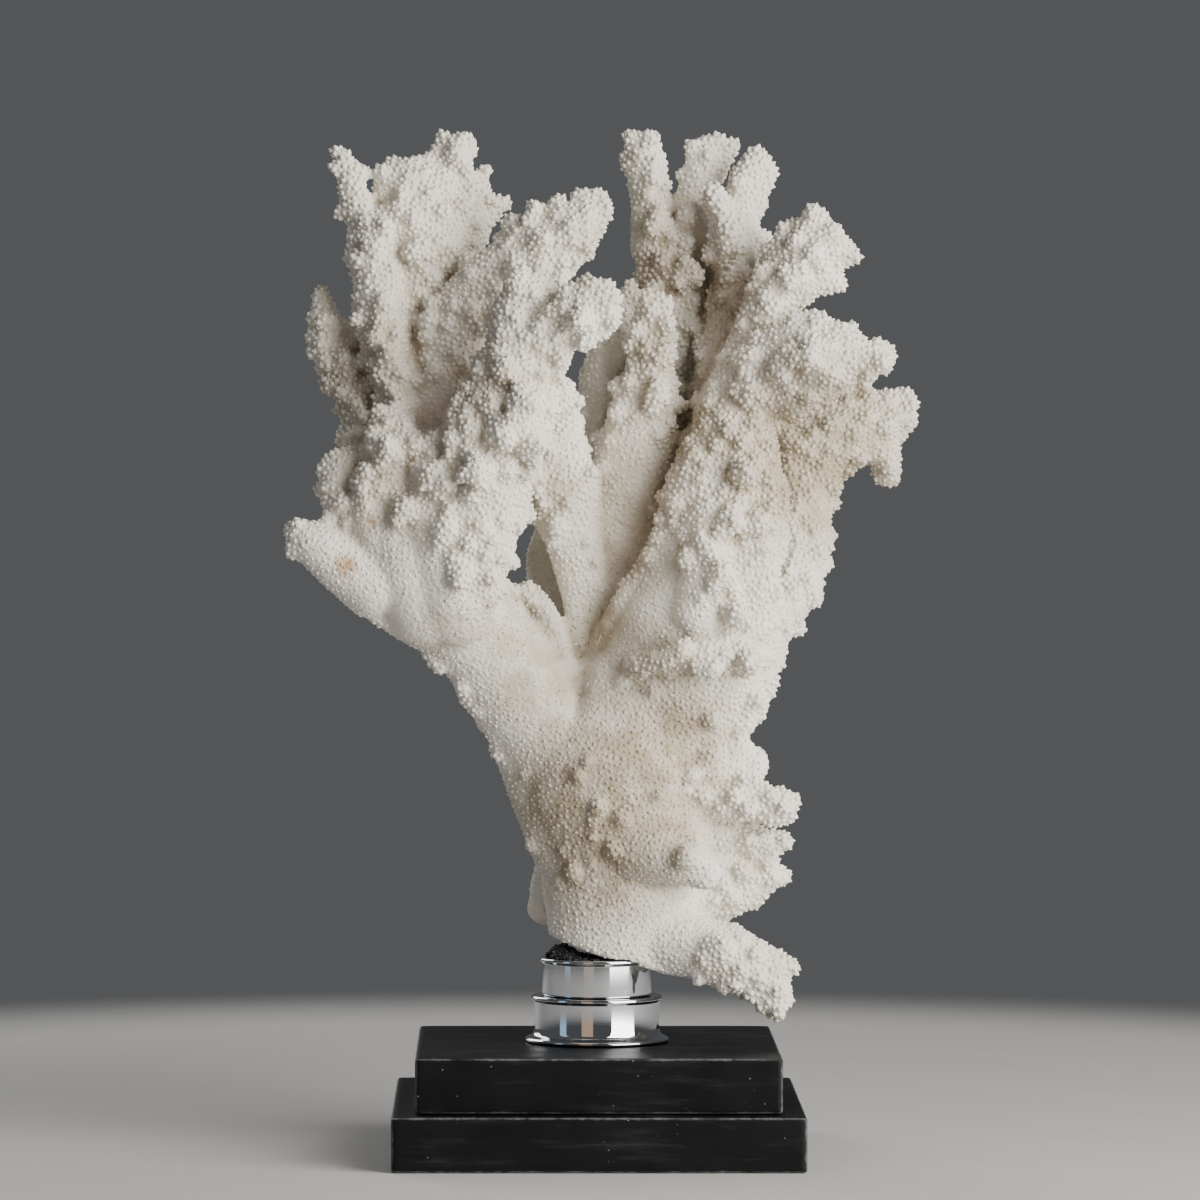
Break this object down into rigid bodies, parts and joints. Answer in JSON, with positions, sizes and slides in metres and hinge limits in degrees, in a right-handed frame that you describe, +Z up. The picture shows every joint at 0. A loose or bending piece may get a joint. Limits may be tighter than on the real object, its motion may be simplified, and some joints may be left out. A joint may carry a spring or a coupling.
{
  "type": "branching coral",
  "caption": "White branching coral skeleton with knobbly upright fingers, held in a turned chrome collar on a stepped square black plinth.",
  "frame": {"origin": "centre of the plinth's flat underside, on the surface it stands on", "axes": "+Z up, +X to the right and -Y towards the viewer as the piece is shown from the front"},
  "size_m": [0.3253, 0.211, 0.514],
  "materials": {
    "black_paint": "satin black paint on wood, rubbed paler at the edges",
    "chrome": "polished chrome, turned",
    "black_grit": "coarse black grit set in resin",
    "coral_white": "matt white lime skeleton, knobbly, with fine pores and cream hollows"
  },
  "bodies": {
    "root": {"plinth_lower_slab": "black_paint", "plinth_upper_slab": "black_paint", "collar_foot_ring": "chrome", "collar_cup": "chrome", "collar_bedding": "black_grit", "coral_trunk": "coral_white", "coral_upper_side_prong": "coral_white", "coral_lower_side_prongs": "coral_white", "coral_base_prong": "coral_white", "coral_left_palm": "coral_white", "coral_left_front_finger": "coral_white", "coral_left_outer_finger": "coral_white", "coral_left_fan": "coral_white", "coral_left_comb": "coral_white", "coral_middle_left_finger": "coral_white", "coral_middle_finger": "coral_white", "coral_middle_rear_finger": "coral_white", "coral_rear_left_finger": "coral_white", "coral_tall_fingers": "coral_white", "coral_right_middle_fingers": "coral_white", "coral_right_upper_finger": "coral_white", "coral_right_side_finger": "coral_white", "coral_front_ridge": "coral_white", "coral_rear_right_limb": "coral_white", "coral_rear_fan_fingers": "coral_white", "coral_rear_crown_finger": "coral_white", "coral_rear_prongs": "coral_white"}
  },
  "joints": []
}
